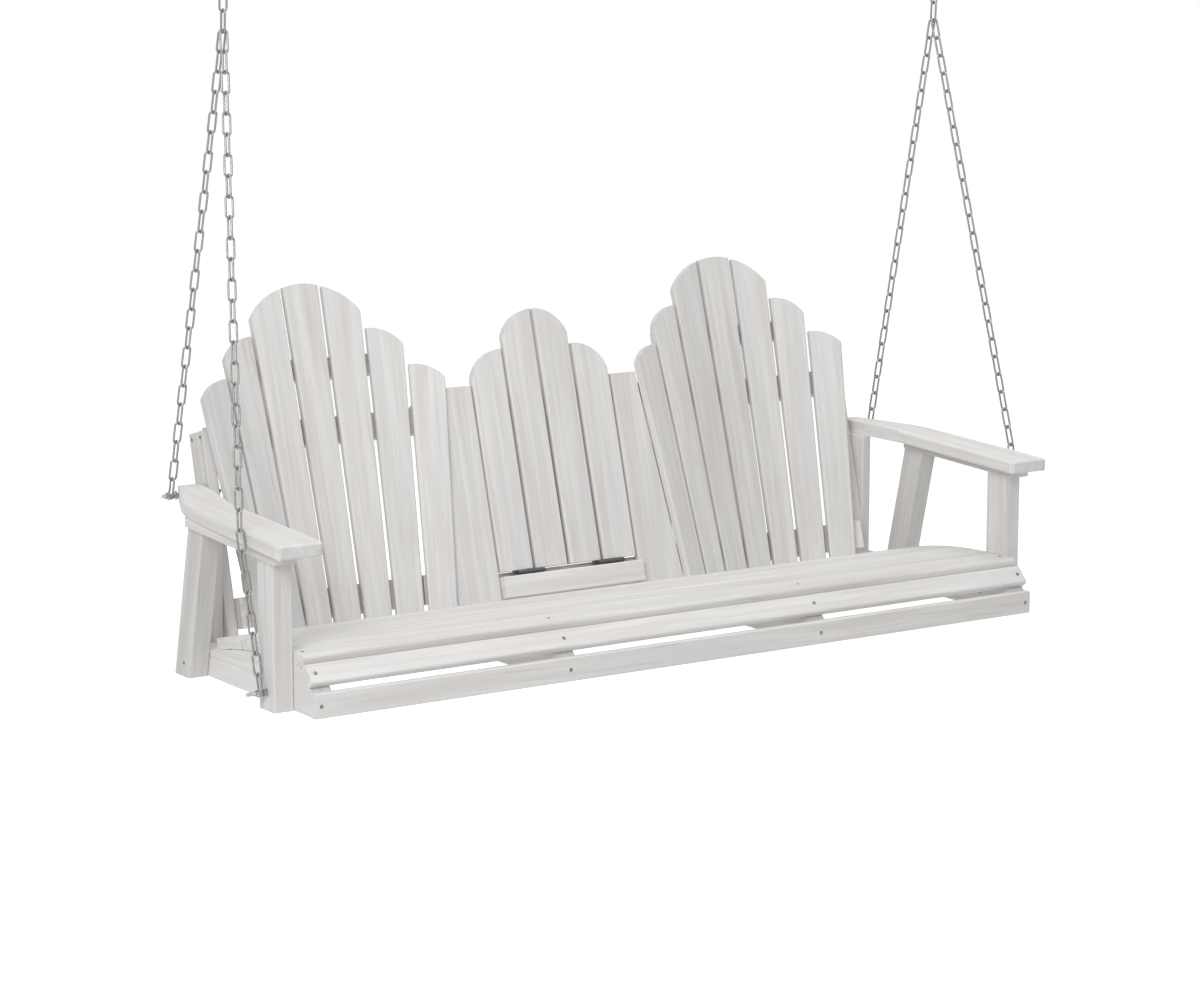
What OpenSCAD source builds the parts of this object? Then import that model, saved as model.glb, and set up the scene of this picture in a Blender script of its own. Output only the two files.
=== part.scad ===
// Porch swing seat with two fanned, hollowed backs, a fold-down centre console and hanging chains.
// Millimetres, X to the right, Y to the rear, Z up.
// The origin is the middle of the line on which the two top chain links are held.

/* [Seat] */

// Overall width of the seat boards
seat_w = 1824; // [1700:1:1900]
// Thickness of the thin boards
board_t = 19; // [17:0.5:20]
// Thickness of the framing timbers
frame_t = 44.5; // [42:0.5:46]
// Width of the framing timbers
frame_w = 63.5; // [60:0.5:66]
// Height of the front apron
apron_h = 50; // [44:1:54]
// Round-over on the long edges of the boards
edge_r = 5; // [3:0.5:6]
// Height of the seat surface over its front part
seat_top = 117.7; // [116:0.1:122]
// Thickness of the seat slats
seat_slat_t = 24; // [21:0.5:25]
// Radius of the seat surface behind its crest
seat_r = 1250; // [1150:10:1500]
// Distance from the apron's face to the crest of the seat
crest_y = 140; // [130:1:150]
// Width of the front seat slat
front_slat_w = 86; // [80:1:87]
// Distance from the apron's face to the front seat slat
front_slat_y = 50; // [49:0.5:52]
// Distance from one seat slat to the next
seat_pitch = 57; // [54:0.5:58]
// Gap between seat slats
seat_gap = 2.5; // [2:0.25:4]
// Number of seat slats behind the front one
seat_slats_n = 5; // [5:1:5]
// Width of the sloping slat below the seat's front edge
fall_w = 46; // [42:1:47]
// Slope of the sloping slat
fall_a = 48; // [45:1:52]
// Height of the sloping slat's lower edge
fall_z = 69; // [67:1:71]
// Distance from the seat's middle to the middle stringers
mid_x = 321.25; // [316:0.25:326]

/* [Legs and arms] */

// Distance from the apron's face to the front posts
post_y = 89.5; // [86:0.5:94]
// Distance from the apron's face to the foot of the rear legs
leg_y = 459; // [455:0.5:463]
// Forward lean of the rear legs
leg_a = 13.3; // [12:0.1:15]
// Height of the arm's top face at its front edge
arm_z = 342.3; // [335:0.1:350]
// Distance from the apron's face to the arm's rear end
arm_rear_y = 609.1; // [605:0.1:612]
// Length of the arm
arm_l = 583; // [578:1:590]
// Thickness of the arm
arm_t = 28; // [27:1:29]
// Rise of the arm towards the rear
arm_a = 3.11; // [2.6:0.01:3.5]
// Width of the arm at its front edge
arm_w = 103.5; // [100:0.5:108]
// Overhang of the arm outside the front posts
arm_over = 21.5; // [19:0.5:23]
// Slant of the arm's outer edge, inwards towards the rear
arm_taper = 1.4; // [1:0.1:1.8]
// Radius of the arm's outer edge where it turns inwards
arm_bend_r = 268; // [250:1:290]
// Turn of the arm's outer edge
arm_bend_a = 22.5; // [20:0.5:25]
// Distance from the arm's rear end to where its outer edge starts to turn
arm_bend_l = 211; // [204:1:218]
// Round-over on the arm's edges
arm_r = 6; // [4:0.5:8]
// Width of the cleat under the arm
cleat_w = 53; // [48:1:54]
// Length of the cleat under the arm
cleat_l = 384; // [370:1:390]
// Distance from the apron's face to the cleat
cleat_y = 68; // [60:1:75]
// Thickness of the end uprights and back braces
upright_b = 24; // [21:0.5:25]
// Distance from the apron's face to the back braces
brace_y = 519; // [512:0.5:524]
// Height of the end stringers behind the seat slats
tail_h = 54; // [45:1:56]

/* [Back] */

// Rearward lean of the back
lean = 15.5; // [14.5:0.1:16.5]
// Distance from the apron's face to the back's plane at its foot
back_y = 434; // [431:0.5:438]
// Distance from the seat's middle to the middle of each fan
fan_x = 545; // [542:0.5:548]
// Radius of the hollow in each fan
fan_r = 742; // [700:1:800]
// Depth of the hollow from the back's plane
fan_sag = 62; // [58:0.5:64]
// Distance from slat to slat where the middle rail crosses
fan_pitch = 83.5; // [82:0.1:84]
// Height of the middle rail's centre, along the back
fan_ref = 493.5; // [485:0.5:500]
// Distance below the seat at which the slats' lines would meet
fan_reach = 2271; // [2100:1:2600]
// Gap between fan slats
fan_gap = 8.2; // [7:0.1:9]
// Foot of the fan slats, along the back
fan_foot = 52; // [46:1:58]
// Crown height of the three middle slats, along the back
crown_t = 811; // [800:1:825]
// Crown radius of the three middle slats
crown_r = 160; // [152:1:175]
// Height of the second and sixth slats, along the back
second_t = 704; // [700:1:710]
// Height of the outermost slats, along the back
outer_t = 616; // [612:1:622]
// Radius of the shoulders on the four side slats
shoulder_r = 87; // [85:0.5:92]
// Depth of the rails behind the fan's middle slat
rail_d = 44.5; // [40:0.5:48]
// Height of the lower rail
low_rail_h = 63.5; // [60:0.5:66]
// Foot of the lower rail, along the back
low_rail_t = 95; // [92:1:98]
// Height of the middle rail
mid_rail_h = 57; // [54:0.5:60]
// Height of the upper rail
top_rail_h = 44.5; // [42:0.5:48]
// Foot of the upper rail, along the back
top_rail_t = 606; // [600:1:612]
// Height of the end uprights, along the back
upright_t = 513; // [505:1:521]
// Rearward lean of the end uprights
upright_a = 14; // [13.5:0.1:15.5]
// Distance of the end uprights' top behind the back's plane
upright_n = 31.8; // [31.7:0.1:34]

/* [Console] */

// Distance from one console slat to the next
flap_pitch = 89.5; // [88:0.5:90]
// Gap between console slats
flap_gap = 7.5; // [6:0.5:8.5]
// Foot of the console slats, along the back
flap_foot = 143; // [142.5:0.1:145]
// Distance of the console's front face behind the back's plane
flap_n = 22; // [21:0.5:23.5]
// Crown height of the two middle console slats, along the back
flap_crown_t = 716.5; // [705:0.5:725]
// Crown radius of the two middle console slats
flap_crown_r = 90; // [88:0.5:96]
// Height of the outer console slats, along the back
flap_side_t = 632.5; // [625:0.5:640]
// Shoulder radius of the outer console slats
flap_side_r = 88; // [87:0.5:92]
// Gap between the console and the fixed slats beside it
side_gap = 4.5; // [3.5:0.5:6]
// Height of the fixed slats beside the console, along the back
side_t = 556; // [545:1:565]
// Gap between the fixed slats and the fans
side_fan_gap = 6; // [5:0.5:8]
// Top of the hinge board, along the back
hinge_board_t = 131.3; // [130.8:0.1:132]
// Height of the hinge board
hinge_board_h = 46.8; // [44:0.2:50]
// Distance of the hinge board's face behind the back's plane
hinge_board_n = 5.7; // [4:0.1:8]
// Number of table boards behind the console slats
table_n = 5; // [5:1:5]
// Distance from one table board to the next
table_pitch = 71.5; // [70:0.1:72]
// Gap between table boards
table_gap = 3.5; // [3:0.5:5]
// Top of the table boards, along the back
table_t = 477; // [474:1:480]
// Width of the battens behind the console slats
batten_w = 63.5; // [55:0.5:66]
// Distance of the stop rail above the table boards
stop_over = 10; // [9.5:0.5:12]
// Height of the console's two rails
stop_h = 44.5; // [40:0.5:46]
// Hinge pin radius
pin_r = 1.9; // [1.7:0.1:2.1]
// Hinge knuckle radius
knuckle_r = 4.3; // [4.25:0.05:4.4]
// Length of each hinge
hinge_l = 70; // [60:1:76]
// Distance of each hinge from the seat's middle
hinge_x = 105; // [95:1:120]
// Thickness of the hinge leaves
leaf_t = 2; // [1.8:0.1:2.2]

/* [Chains] */

// Wire thickness of the chain links
wire = 4.5; // [4:0.1:4.7]
// Inner width of the chain links
link_w = 11; // [10.5:0.1:11.5]
// Distance from link to link
link_pitch = 41.1; // [41:0.05:41.3]
// Thickness of the hanging bolts
bolt_d = 8; // [7.5:0.1:8.5]
// Length of the front bolts outside the posts
bolt_out = 44; // [40:1:48]
// Length of the rear bolts outside the arms
rear_bolt_out = 36.5; // [35:0.5:40]
// Distance from the apron's face to the front bolts
bolt_y = 121; // [118:0.5:124]
// Height of the front bolts
bolt_z = 37; // [34:0.5:42]
// Distance from the arm's rear end to the rear bolts
rear_bolt_in = 17.1; // [15:0.1:21]
// Across flats of the nuts
nut_af = 13; // [12:0.5:14]
// Thickness of the nuts
nut_t = 6.5; // [6:0.1:7]
// Washer radius
washer_r = 9.5; // [9:0.1:11]
// Washer thickness
washer_t = 1.6; // [1.4:0.1:2]
// Distance from the seat's middle to the chain junctions
join_x = 899; // [895:1:905]
// Distance from the apron's face to the chain junctions
join_y = 358; // [350:0.5:366]
// Rearward lean at which the seat hangs from its chain junctions
hang_a = 2.76; // [2:0.01:3.5]
// Distance from the apron's face to where the front chains turn over the arms
turn_y = 160; // [156:1:166]
// Links between the front bolts and the arms' edges
turn_links = 8; // [8:1:8]
// Links from the rear bolts to the junctions
chain_links = 24; // [24:2:24]
// Links above each junction that swing
riser_links = 2; // [2:2:2]

/* [Hidden] */

$fn = 64;

// Clearances
seat_fit = 0.3;
run_fit = 0.1;
bolt_fit = 0.1;
link_fit = 0.3;
link_slack = 0.35;
turn_gap = 3;

// Seat and frame
half_w = seat_w / 2;
stringer_x = half_w - 2 - frame_t / 2;
post_x = half_w - 2;
post_face = post_x + frame_t;
seat_cz = seat_top - seat_r;
slat_x = post_x - 0.5;
stringer_rear = brace_y + frame_w;
arm_out = post_face + arm_over;
arm_in = arm_out - arm_w;
arm_low = arm_z - arm_t / cos(arm_a);
arm_y = arm_rear_y - arm_l * cos(arm_a);
arm_bend_y = arm_l - arm_bend_l;
rear_bolt_y = arm_rear_y - rear_bolt_in;
cleat_x = post_x - 2;
upright_x = post_x - frame_t - upright_b;
upright_in = upright_x - upright_b;
inner_x = mid_x - frame_t / 2;
inner_n = flap_n + board_t + seat_fit;

// Fans: the slats' lines meet fan_reach below the back's foot
fan_step = fan_pitch / fan_r * 180 / PI;
fan_k = fan_pitch / (fan_reach + fan_ref);
mid_rail_t = fan_ref - mid_rail_h / 2;

// Console
flap_half = 2 * flap_pitch - flap_gap / 2 + 4;
side_in = flap_half + side_gap;
axis_n = flap_n - knuckle_r - 0.7;
axis_t = (flap_foot - leaf_t + hinge_board_t + leaf_t) / 2 + 0.3;
stop_t = table_t + stop_over;
low_stop_t = flap_foot - 2 - frame_w;
batten_foot = flap_foot + 6;
table_foot = table_t - table_n * table_pitch + table_gap;

// Chains
wr = wire / 2;
link_r = link_w / 2 + wr;
rear_arm_x = arm_edge(rear_bolt_y);
bolt_link_x = post_face + washer_t + nut_t + wire;
rear_face_x = rear_arm_x + washer_r * tan(arm_bend_a + arm_taper) + 0.05;
rear_link_x = rear_face_x + washer_t + nut_t + wire;
rear_bolt_z = arm_low + (rear_bolt_y - arm_y) * tan(arm_a) + arm_t / 2 - 2;
bolt_drop = bolt_d / 2 + link_fit + wr - (wr + link_fit / 2);
side_off = wr + 0.75;
rear_reach = [rear_link_x - join_x, rear_bolt_y - join_y - side_off];
rear_len = chain_links * link_pitch;
join_z = rear_bolt_z - bolt_drop
    + sqrt(rear_len * rear_len - rear_reach[0] * rear_reach[0] - rear_reach[1] * rear_reach[1]);
pivot_z = join_z + wr + link_fit / 2;
join_drop = link_r - 1.4 - 2 * (wr + link_fit / 2);
swing_z = join_z - join_drop + riser_links * link_pitch;
hang_z = swing_z + link_pitch + wr + link_fit / 2;
turn_x = arm_out - (turn_y - arm_y) * tan(arm_taper) + link_r + wr + turn_gap;
turn_len = turn_links * (link_pitch - link_slack);
turn_z = bolt_z - bolt_drop + sqrt(turn_len * turn_len
    - (turn_x - bolt_link_x) * (turn_x - bolt_link_x) - (turn_y - bolt_y) * (turn_y - bolt_y));

// Outline helpers

// Where the arm's outer edge lies at a distance from the apron's face
function arm_cx() = arm_out - arm_bend_y * sin(arm_taper) - arm_bend_r * cos(arm_taper);
function arm_cy() = arm_bend_y * cos(arm_taper) - arm_bend_r * sin(arm_taper);
function arm_edge(y) = arm_cx() + arm_bend_r * cos(arm_bend_a + arm_taper)
    - (y - arm_y - arm_cy() - arm_bend_r * sin(arm_bend_a + arm_taper)) * tan(arm_bend_a + arm_taper);

// Fan slat j, counted -3 to 3 from the fan's middle
function fan_off(j) = fan_r * sin(j * fan_step);
function fan_deep(j) = fan_r * cos(j * fan_step) - fan_r + fan_sag;
function fan_turn(j) = atan(fan_off(j) / (fan_reach + fan_ref));
function fan_mid(j, t) = (fan_reach + t) * tan(fan_turn(j));
function fan_w(t) = fan_k * (fan_reach + t) - fan_gap;
function fan_edge(j, t) = fan_mid(j, t) + sign(j) * fan_w(t) / 2 * cos(j * fan_step);
function fan_inner(j, t) = fan_mid(j, t) - sign(j) * fan_w(t) / 2 * cos(j * fan_step);

// Rounded rectangle from the origin
module round_rect(w, h, r) {
    translate([r, 0]) square([w - 2 * r, h]);
    translate([0, r]) square([w, h - 2 * r]);
    for (x = [r, w - r], y = [r, h - r])
        translate([x, y]) circle(r = r);
}

// Profile in Y and Z drawn out along X
module along_x(x0, x1) {
    translate([x0, 0, 0]) rotate([90, 0, 90]) linear_extrude(x1 - x0) children();
}

// Outline in X and Z drawn out along Y
module along_y(y0, y1) {
    translate([0, y1, 0]) rotate([90, 0, 0]) linear_extrude(y1 - y0) children();
}

// The back's frame: X, depth behind the back's plane, height along the back
module back() {
    translate([0, back_y, 0]) rotate([-lean, 0, 0]) children();
}

// Keeps what stands above the seat frame's underside
module above_ground() {
    intersection() {
        children();
        translate([-1500, -500, 0]) cube([3000, 2000, 1500]);
    }
}

// The seat, leant back about the line of the chain junctions until its weight hangs below it
module hung() {
    translate([0, 0, pivot_z - hang_z]) rotate([-hang_a, 0, 0])
        translate([0, -join_y, -pivot_z]) children();
}

// What hangs plumb above the chain junctions
module plumb() {
    translate([0, -join_y, -hang_z]) children();
}

module both(side) {
    if (side < 0) mirror([1, 0, 0]) children();
    else children();
}

// Seat parts

module apron() {
    color("gainsboro") hung() along_x(-half_w, half_w) round_rect(board_t, apron_h, edge_r * 0.6);
}

module waterfall_slat() {
    color("gainsboro") hung() along_x(-half_w, half_w)
        translate([11, fall_z]) rotate(fall_a) translate([0, -board_t]) round_rect(fall_w, board_t, edge_r);
}

module front_seat_slat() {
    color("gainsboro") hung() along_x(-slat_x, slat_x)
        translate([front_slat_y, seat_top - seat_slat_t])
            round_rect(front_slat_w, seat_slat_t, edge_r * 1.6);
}

module seat_slats() {
    color("gainsboro") hung() for (i = [0 : seat_slats_n - 1]) {
        a = -(front_slat_y + front_slat_w + seat_gap + (i + 0.5) * seat_pitch - seat_gap / 2 - crest_y)
            / seat_r * 180 / PI;
        along_x(-slat_x, slat_x) translate([crest_y, seat_cz]) rotate(a)
            translate([-(seat_pitch - seat_gap) / 2, seat_r - seat_slat_t])
                round_rect(seat_pitch - seat_gap, seat_slat_t, edge_r);
    }
}

// Stringer profile: under the slats it follows the seat's curve
module stringer_profile() {
    top = seat_top - seat_slat_t - seat_fit;
    slope_y = 11 + (board_t + seat_fit) * sin(fall_a);
    slope_z = fall_z - (board_t + seat_fit) * cos(fall_a);
    nose = (top - 3 - slope_z) / tan(fall_a);
    intersection() {
        polygon([[board_t, 0], [stringer_rear, 0], [stringer_rear, 60], [stringer_rear - 40, top],
            [slope_y + nose + 8, top], [slope_y + nose, top - 3], [slope_y, slope_z], [board_t, slope_z - 6]]);
        union() {
            square([crest_y, 2 * seat_top]);
            translate([crest_y, seat_cz]) circle(r = seat_r - seat_slat_t - seat_fit - 0.4, $fn = 360);
            translate([back_y, 0]) square([stringer_rear - back_y, tail_h]);
        }
    }
}

module stringer(x) {
    color("lightgray") hung() difference() {
        along_x(x - frame_t / 2, x + frame_t / 2) stringer_profile();
        if (abs(x) > mid_x)
            translate([x, bolt_y, bolt_z]) rotate([0, 90, 0])
                cylinder(r = bolt_d / 2 + bolt_fit, h = 2 * frame_t, center = true);
        else
            back() translate([x - frame_t, -seat_fit, fan_foot - seat_fit]) cube([2 * frame_t, 300, 400]);
    }
}

// Arm parts, drawn for the right side

// Plane of the arm's underside, cleats and legs end below it
module under_arm(drop) {
    intersection() {
        children();
        translate([0, arm_y, arm_low - drop]) rotate([arm_a, 0, 0])
            translate([0, -200, -900]) cube([1500, 1200, 900]);
    }
}

module front_post(side) {
    color("lightgray") hung() both(side) difference() {
        under_arm(board_t / cos(arm_a)) translate([post_x, post_y, 0]) linear_extrude(arm_z)
            round_rect(frame_t, frame_w, edge_r * 0.8);
        translate([post_x, bolt_y, bolt_z]) rotate([0, 90, 0])
            cylinder(r = bolt_d / 2 + bolt_fit, h = 3 * frame_t, center = true);
    }
}

module rear_leg(side) {
    color("lightgray") hung() both(side) above_ground() under_arm(board_t / cos(arm_a))
        translate([post_x, leg_y, 0]) rotate([leg_a, 0, 0]) translate([0, 0, -40])
            linear_extrude(arm_z + 80) round_rect(frame_t, frame_w, edge_r * 0.8);
}

module back_brace(side) {
    color("lightgray") hung() both(side) under_arm(seat_fit) translate([upright_x, brace_y, 0])
        linear_extrude(2 * arm_z) round_rect(upright_b, frame_w, edge_r * 0.6);
}

module arm_cleat(side) {
    color("gainsboro") hung() both(side) translate([0, arm_y, arm_low]) rotate([arm_a, 0, 0])
        translate([cleat_x, cleat_y - arm_y, -board_t]) linear_extrude(board_t)
            round_rect(cleat_w, cleat_l, edge_r);
}

// Points on an arc about c, from angle a to angle b
function arc_points(c, r, a, b, n) = [
    for (i = [0 : n]) c + r * [cos(a + i * (b - a) / n), sin(a + i * (b - a) / n)]
];

// The arm's outline, from its inner rear corner around the front to its outer rear corner
arm_corner = 9;
arm_corner_x = arm_out - arm_corner * (1 + sin(arm_taper)) / cos(arm_taper);
arm_rear_in = upright_x + 1.5;
arm_turn = arm_bend_y + 30;
arm_points = concat(
    [[arm_rear_in, arm_l], [arm_in, arm_turn]],
    arc_points([arm_in + arm_corner, arm_corner], arm_corner, 180, 270, 2),
    arc_points([arm_corner_x, arm_corner], arm_corner, 270, 360 + arm_taper, 2),
    arc_points([arm_cx(), arm_cy()], arm_bend_r, arm_taper, arm_taper + arm_bend_a, 4),
    [[arm_edge(arm_y + arm_l), arm_l]]
);

// What a round-over takes off the top and bottom edges, the edge standing at X = 0
module round_over() {
    c = 0.96 * arm_r;
    for (z = [c, arm_t - c]) difference() {
        translate([-c, z < arm_t / 2 ? -1 : z]) square(c + 1);
        translate([-c, z]) circle(r = arm_r);
    }
}

// The child without its round-over along the straight edge from a to b
module less_edge(a, b) {
    difference() {
        children();
        translate([a[0], a[1], 0]) rotate([0, 0, atan2(b[1] - a[1], b[0] - a[0]) - 90])
            translate([0, norm(b - a) + 0.2, 0]) rotate([90, 0, 0])
                linear_extrude(norm(b - a) + 0.4) round_over();
    }
}

// The arm's board, rounded over along every edge from point i on
module arm_board(i = 1) {
    if (i == len(arm_points) - 1)
        linear_extrude(arm_t) polygon(arm_points);
    else
        less_edge(arm_points[i], arm_points[i + 1]) arm_board(i + 1);
}

module arm(side) {
    color("gainsboro") hung() both(side) difference() {
        translate([0, arm_y, arm_low]) rotate([arm_a, 0, 0]) arm_board();
        translate([upright_x, rear_bolt_y, rear_bolt_z]) rotate([0, 90, 0])
            cylinder(r = bolt_d / 2 + bolt_fit, h = 3 * frame_t, center = true);
    }
}

// Back parts

// Half of a board whose long edge spreads, rounded on that edge
module slat_side(t0, t1, w0, spread) {
    translate([-w0 / 2, 0, t0]) rotate([0, -spread, 0]) linear_extrude((t1 - t0) / cos(spread) + 10)
        round_rect(260, board_t, edge_r);
}

// Frame of fan slat j
module fan_place(j) {
    translate([0, 0, -fan_reach]) rotate([0, fan_turn(j), 0]) translate([0, fan_deep(j), fan_reach])
        rotate([0, 0, -j * fan_step]) children();
}

module fan_blank(j) {
    fan_place(j) intersection() {
        slat_side(fan_foot - 30, crown_t + 20, fan_w(fan_foot - 30), atan(fan_k / 2));
        mirror([1, 0, 0]) slat_side(fan_foot - 30, crown_t + 20, fan_w(fan_foot - 30), atan(fan_k / 2));
    }
}

// Heads of the fan slats
module fan_outline(j) {
    top = abs(j) < 2 ? crown_t : abs(j) == 2 ? second_t : outer_t;
    r = abs(j) < 2 ? crown_r : shoulder_r;
    x = abs(j) < 2 ? 0 : fan_inner(j, top);
    translate([-400, fan_foot]) square([800, top - r - fan_foot]);
    translate([x, top - r]) circle(r = r, $fn = 128);
}

module fan_slat(side, j) {
    color(j % 2 == 0 ? "whitesmoke" : "gainsboro") hung() both(side) back() translate([fan_x, 0, 0])
        intersection() {
            fan_blank(j);
            along_y(-60, 200) fan_outline(j);
        }
}

// What lies in front of the slats' rear faces
module fan_front(j) {
    k = fan_k / 2 * (1 + board_t / fan_r) * 1.001;
    out = abs(j) == 3 ? 70 : 0;
    t1 = crown_t + 40;
    a0 = k * fan_reach;
    a1 = k * (fan_reach + t1);
    lo = j < 0 ? out : 0;
    hi = j > 0 ? out : 0;
    fan_place(j) along_y(-150, board_t + seat_fit)
        polygon([[-a0 - lo, 0], [a0 + hi, 0], [a1 + hi, t1], [-a1 - lo, t1]]);
}

// Rail across a fan: hollow front to the slats' rear faces, round rear
module fan_rail(t0, h, x0, x1) {
    difference() {
        intersection() {
            translate([x0, 0, t0]) cube([x1 - x0, 300, h]);
            translate([0, fan_sag - fan_r, t0]) cylinder(r = fan_r + board_t + rail_d, h = h, $fn = 360);
        }
        for (j = [-3 : 3]) fan_front(j);
    }
}

module lower_rail(side) {
    color("silver") hung() both(side) back() translate([fan_x, 0, 0])
        fan_rail(low_rail_t, low_rail_h, inner_x - fan_x, upright_in - fan_x);
}

module middle_rail(side) {
    color("silver") hung() both(side) back() translate([fan_x, 0, 0])
        fan_rail(mid_rail_t, mid_rail_h, inner_x - fan_x, upright_in - fan_x);
}

module upper_rail(side) {
    half = fan_edge(2, top_rail_t) - 28;
    color("silver") hung() both(side) back() translate([fan_x, 0, 0])
        fan_rail(top_rail_t, top_rail_h, -half, half);
}

// End upright: square to the back's plane at its top, set behind the outermost slat
module end_upright(side) {
    color("silver") hung() both(side) difference() {
        above_ground() back() intersection() {
            translate([upright_in, upright_n, upright_t]) rotate([lean - upright_a, 0, 0])
                translate([0, 0, -2 * upright_t]) linear_extrude(4 * upright_t)
                    round_rect(upright_b, frame_w, edge_r * 0.6);
            translate([0, -500, -500]) cube([1000, 1000, upright_t + 500]);
        }
        translate([upright_x, rear_bolt_y, rear_bolt_z]) rotate([0, 90, 0])
            cylinder(r = bolt_d / 2 + bolt_fit, h = 3 * frame_t, center = true);
    }
}

module inner_upright(side) {
    color("silver") hung() both(side) back() difference() {
        translate([inner_x - board_t, inner_n, low_rail_t])
            cube([board_t, frame_w, stop_t + stop_h - low_rail_t]);
        translate([fan_x, 0, 0]) fan_front(-3);
    }
}

module side_slat(side) {
    out0 = fan_x + fan_edge(-3, fan_foot) - board_t * sin(3 * fan_step) - side_fan_gap + 6;
    out1 = fan_x + fan_edge(-3, side_t) - board_t * sin(3 * fan_step) - side_fan_gap + 6;
    color("whitesmoke") hung() both(side) back() intersection() {
        translate([side_in, flap_n, fan_foot]) linear_extrude(side_t - fan_foot)
            round_rect(260, board_t, edge_r);
        translate([out0, flap_n, fan_foot]) rotate([0, -atan((out0 - out1) / (side_t - fan_foot)), 0])
            translate([-260, 0, -60]) linear_extrude(side_t + 60) round_rect(260, board_t, edge_r);
    }
}

// Console

module flap_outline(i) {
    mid = abs(i) < 1;
    top = mid ? flap_crown_t : flap_side_t;
    r = mid ? flap_crown_r : flap_side_r;
    x = mid ? 0 : sign(i) * (flap_pitch + flap_gap / 2);
    translate([-400, flap_foot]) square([800, top - r - flap_foot]);
    translate([x, top - r]) circle(r = r, $fn = 128);
}

module console_slats() {
    color("whitesmoke") hung() back() for (i = [-1.5 : 1 : 1.5]) {
        x0 = i < -1 ? -flap_half : (i - 0.5) * flap_pitch + flap_gap / 2;
        x1 = i > 1 ? flap_half : (i + 0.5) * flap_pitch - flap_gap / 2;
        intersection() {
            translate([x0, flap_n, flap_foot]) linear_extrude(flap_crown_t - flap_foot + 5)
                round_rect(x1 - x0, board_t, edge_r);
            along_y(-60, 200) flap_outline(i);
        }
    }
}

module console_battens() {
    color("lightgray") hung() back() for (x = [-flap_pitch, flap_pitch])
        translate([x - batten_w / 2, flap_n + board_t, batten_foot])
            linear_extrude(table_t - batten_foot) round_rect(batten_w, board_t, edge_r * 0.6);
}

module table_boards() {
    color("gainsboro") hung() back() for (i = [0 : table_n - 1]) {
        foot = max(table_foot + i * table_pitch, flap_foot + 1);
        top = table_foot + (i + 1) * table_pitch - table_gap;
        translate([0, flap_n + 2 * board_t, foot])
            along_x(-flap_half, flap_half) round_rect(board_t, top - foot, edge_r * 0.6);
    }
}

module hinge_board() {
    color("gainsboro") hung() back()
        translate([0, hinge_board_n, hinge_board_t - hinge_board_h])
            along_x(-side_in + 0.5, side_in - 0.5)
                round_rect(inner_n - hinge_board_n, hinge_board_h, edge_r * 0.5);
}

module console_rails() {
    color("silver") hung() back() {
        translate([-inner_x + board_t, inner_n, low_stop_t])
            cube([2 * (inner_x - board_t), frame_t, frame_w]);
        translate([-inner_x + board_t, inner_n, stop_t])
            cube([2 * (inner_x - board_t), frame_t, stop_h]);
    }
}

// Hinge knuckle with its tab to the leaf
module knuckle(x0, x1, bore, up) {
    plate_t = up ? flap_foot - leaf_t : hinge_board_t;
    difference() {
        union() {
            translate([x0, axis_n, axis_t]) rotate([0, 90, 0]) cylinder(r = knuckle_r, h = x1 - x0);
            translate([x0, axis_n, plate_t]) cube([x1 - x0, knuckle_r + 1, leaf_t]);
            translate([x0, axis_n, min(axis_t, plate_t)])
                cube([x1 - x0, leaf_t * 1.4, abs(axis_t - plate_t)]);
        }
        translate([x0 - 1, axis_n, axis_t]) rotate([0, 90, 0]) cylinder(r = bore, h = x1 - x0 + 2);
    }
}

module hinge_leaf(up) {
    plate_t = up ? flap_foot - leaf_t : hinge_board_t;
    third = hinge_l / 6;
    translate([-hinge_l / 2, axis_n + knuckle_r + 0.6, plate_t])
        cube([hinge_l, flap_n + board_t - axis_n - knuckle_r - 2, leaf_t]);
    if (up) knuckle(-third + seat_fit, third - seat_fit, pin_r + run_fit, true);
    else for (s = [-1, 1])
        knuckle(s > 0 ? third : -hinge_l / 2, s > 0 ? hinge_l / 2 : -third, pin_r + run_fit / 2, false);
}

module hinge_fixed_leaves() {
    color("dimgray") hung() back() for (s = [-1, 1]) translate([s * hinge_x, 0, 0]) hinge_leaf(false);
}

module hinge_moving_leaves() {
    color("gray") hung() back() for (s = [-1, 1]) translate([s * hinge_x, 0, 0]) hinge_leaf(true);
}

module hinge_pins() {
    color("silver") hung() back() for (s = [-1, 1]) translate([s * hinge_x - hinge_l / 2, axis_n, axis_t])
        rotate([0, 90, 0]) cylinder(r = pin_r, h = hinge_l);
}

// Hanging hardware

// Bolt stations: where each bolt starts, its length, and its nuts and washers
module each_bolt() {
    for (s = [-1, 1]) both(s) {
        translate([0, bolt_y, bolt_z]) children(0);
        translate([0, rear_bolt_y, rear_bolt_z]) children(1);
    }
}

module rod(x0, x1, r) {
    translate([x0, 0, 0]) rotate([0, 90, 0]) cylinder(r = r, h = x1 - x0);
}

bolt_in = stringer_x - frame_t / 2;

module hanging_bolts() {
    color("silver") hung() each_bolt() {
        rod(bolt_in - washer_t - nut_t - 4, post_face + bolt_out, bolt_d / 2);
        rod(upright_in - washer_t - nut_t - 4, rear_arm_x + rear_bolt_out, bolt_d / 2);
    }
}

module ring(x, t, r) {
    difference() {
        rod(x, x + t, r);
        rod(x - 1, x + t + 1, bolt_d / 2 + bolt_fit);
    }
}

module nut(x) {
    difference() {
        translate([x, 0, 0]) rotate([0, 90, 0]) cylinder(r = nut_af / 2 / cos(30), h = nut_t, $fn = 6);
        rod(x - 1, x + nut_t + 1, bolt_d / 2 + bolt_fit);
    }
}

module hanging_nuts() {
    color("darkgray") hung() each_bolt() {
        for (x = [bolt_in - washer_t - nut_t, post_face + washer_t,
                  bolt_link_x + wr + 1 + washer_t]) nut(x);
        for (x = [upright_in - washer_t - nut_t, rear_face_x + washer_t,
                  rear_link_x + wr + 1 + washer_t]) nut(x);
    }
}

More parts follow.
